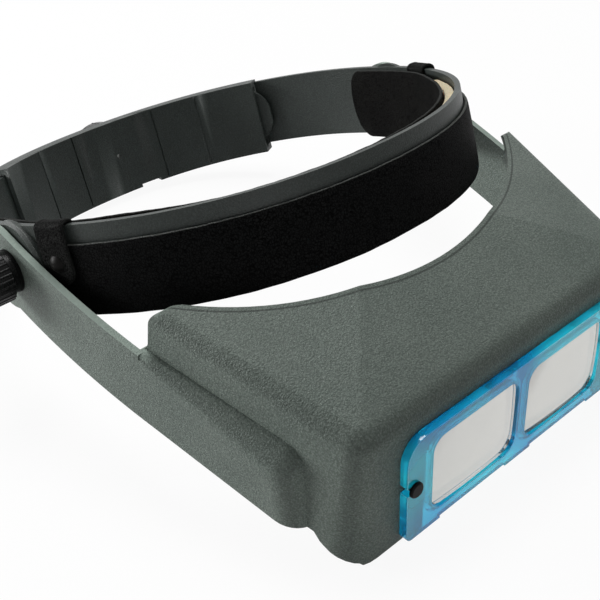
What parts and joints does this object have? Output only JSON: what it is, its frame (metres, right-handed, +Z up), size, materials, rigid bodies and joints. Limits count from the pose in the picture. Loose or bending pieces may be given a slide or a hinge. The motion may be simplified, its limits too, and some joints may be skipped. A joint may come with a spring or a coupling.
{
  "type": "binocular head magnifier",
  "caption": "Head-worn binocular magnifier: tilting hood on side arms, blue lens plate with paired lenses, padded headband with knob size adjuster.",
  "frame": {"origin": "middle of the bounding box's underside, on the plane the magnifier stands on", "axes": "+Z up, +Y towards the back of the wearer's head, +X towards the wearer's right hand"},
  "size_m": [0.2152, 0.2524, 0.0917],
  "materials": {
    "shell_plastic": "fine leather-grain moulded plastic, dark grey-green",
    "band_plastic": "fine-grained moulded plastic, dark grey-green",
    "outer_leather": "black grained leather",
    "liner_leather": "black smooth leather",
    "cream_foam": "cream open-cell foam",
    "plate_blue": "translucent blue moulded acrylic",
    "lens_glass": "clear polished lens",
    "black_plastic": "black, semi-gloss",
    "knob_plastic": "black ribbed plastic",
    "snap_black": "black enamelled snap cap",
    "steel": "plated steel",
    "fibre": "dark friction fibre",
    "brass": "machined brass"
  },
  "bodies": {
    "headband_body": {"headband": "band_plastic", "brow_cover": "outer_leather", "brow_foam": "cream_foam", "brow_liner": "liner_leather", "snap_tab_left": "liner_leather", "snap_tab_right": "liner_leather", "snap_caps": "snap_black", "snap_posts": "steel", "pivot_bolt_left": "steel", "pivot_bolt_right": "steel", "friction_washer_left": "fibre", "friction_washer_right": "fibre", "pressure_washer_left": "black_plastic", "pressure_washer_right": "black_plastic"},
    "visor_body": {"visor_shell": "shell_plastic", "lens_plate": "plate_blue", "lens_left": "lens_glass", "lens_right": "lens_glass", "lens_studs": "black_plastic", "lens_stud_nuts": "steel"},
    "pivot_knob_left_body": {"pivot_knob_left": "knob_plastic", "knob_insert_left": "brass"},
    "pivot_knob_right_body": {"pivot_knob_right": "knob_plastic", "knob_insert_right": "brass"},
    "rear_adjuster_body": {"rear_sleeve": "band_plastic", "clamp_bolt": "steel", "rear_washer": "steel"},
    "rear_knob_body": {"rear_knob": "knob_plastic", "rear_knob_insert": "brass"}
  },
  "joints": [
    {"name": "visor_tilt", "type": "hinge", "parent": "headband_body", "child": "visor_body", "pos_m": [0, 0.01214, 0.05062], "axis": [-1, 0, 0], "range_deg": [-20, 75]},
    {"name": "pivot_knob_left_turn", "type": "hinge", "parent": "headband_body", "child": "pivot_knob_left_body", "pos_m": [-0.101, 0.01214, 0.05062], "axis": [-1, 0, 0], "continuous": true},
    {"name": "pivot_knob_right_turn", "type": "hinge", "parent": "headband_body", "child": "pivot_knob_right_body", "pos_m": [0.101, 0.01214, 0.05062], "axis": [1, 0, 0], "continuous": true},
    {"name": "rear_adjust", "type": "hinge", "parent": "headband_body", "child": "rear_adjuster_body", "pos_m": [0, 0.02446, 0.04648], "axis": [0, 0.319, 0.9478], "range_deg": [-4, 4]},
    {"name": "rear_knob_turn", "type": "hinge", "parent": "rear_adjuster_body", "child": "rear_knob_body", "pos_m": [0.00918, 0.11611, 0.01563], "axis": [0.0706, 0.9454, -0.3182], "continuous": true}
  ]
}
